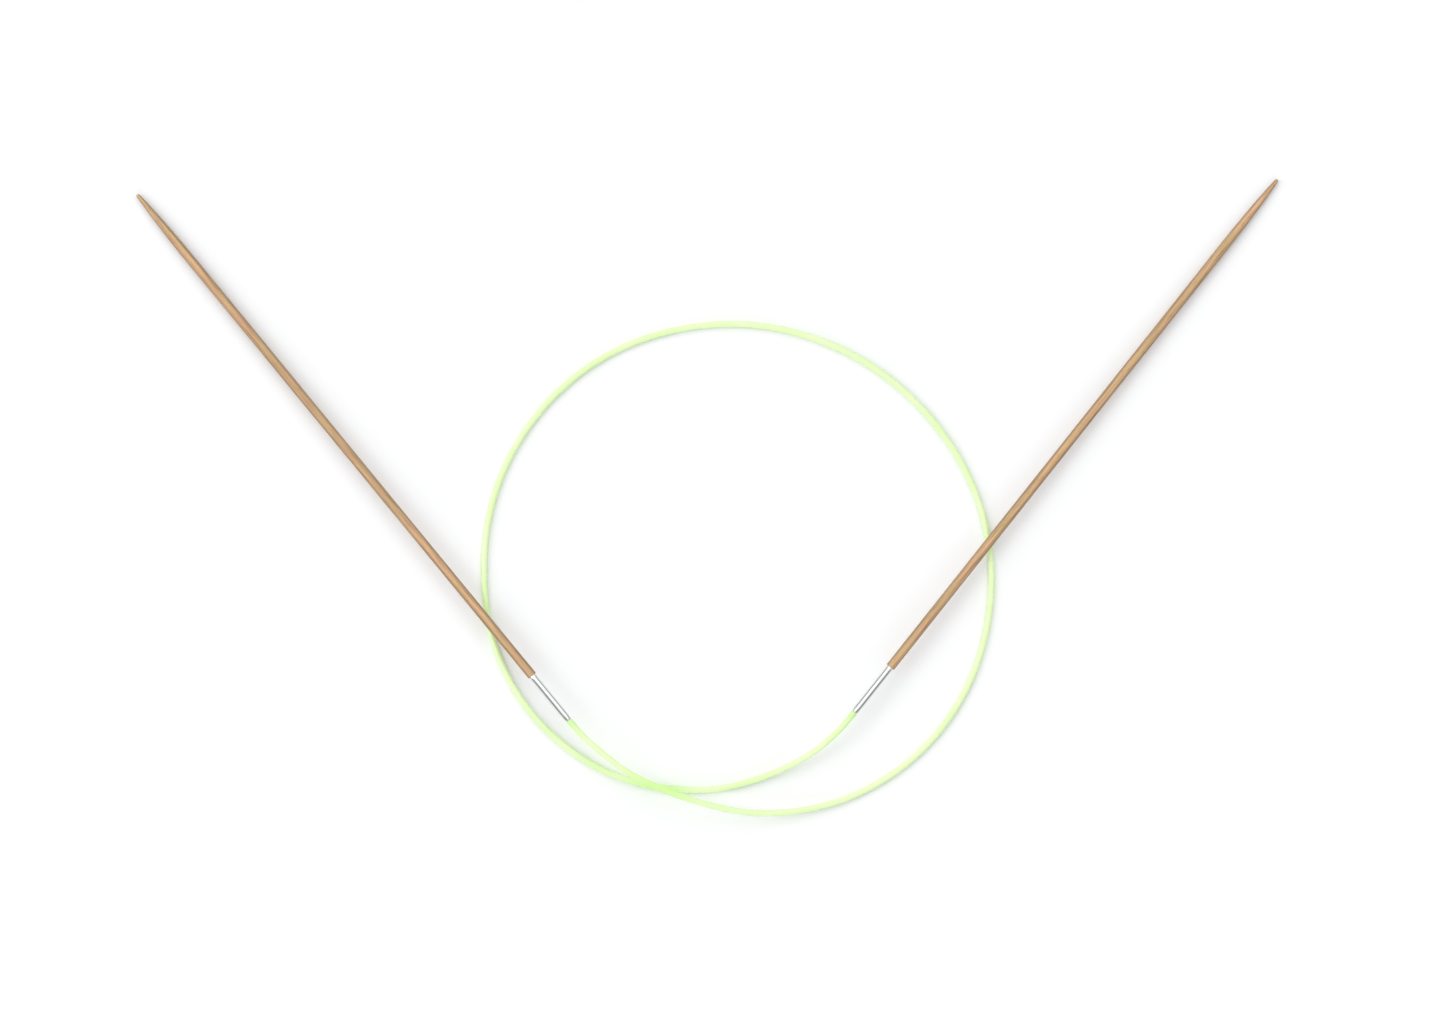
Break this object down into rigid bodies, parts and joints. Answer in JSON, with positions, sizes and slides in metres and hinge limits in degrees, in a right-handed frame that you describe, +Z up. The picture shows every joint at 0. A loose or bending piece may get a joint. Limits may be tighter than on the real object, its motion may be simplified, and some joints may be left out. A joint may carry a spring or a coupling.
{
  "type": "circular knitting needle",
  "caption": "Circular knitting needle lying flat: two slim bamboo tips in steel ferrules, joined by a springy nylon cord that loops once between them.",
  "frame": {"origin": "on the table, below the middle of the box round the two needles", "axes": "+Z up, +X from the left needle to the right one, +Y from the cord's loop to the points"},
  "size_m": [0.2141, 0.1196, 0.0054],
  "materials": {
    "bamboo": "carbonised bamboo, fine straight fibres along the shaft, satin wax finish",
    "polished_steel": "polished stainless tube, mouth rolled in",
    "crimp_steel": "plain drawn steel, crimped",
    "green_nylon": "clear lime nylon line, smooth and glossy"
  },
  "bodies": {
    "cord": {"cord": "green_nylon", "left_bead": "crimp_steel", "right_bead": "crimp_steel"},
    "left_needle": {"left_tip": "bamboo", "left_ferrule": "polished_steel"},
    "right_needle": {"right_tip": "bamboo", "right_ferrule": "polished_steel"}
  },
  "joints": [
    {"name": "left_swivel", "type": "hinge", "parent": "cord", "child": "left_needle", "pos_m": [-0.02602, -0.05073, 0.00333], "axis": [-0.635, 0.7722, -0.0211], "continuous": true},
    {"name": "right_swivel", "type": "hinge", "parent": "cord", "child": "right_needle", "pos_m": [0.02755, -0.04924, 0.00369], "axis": [0.6222, 0.7825, -0.0241], "continuous": true}
  ]
}
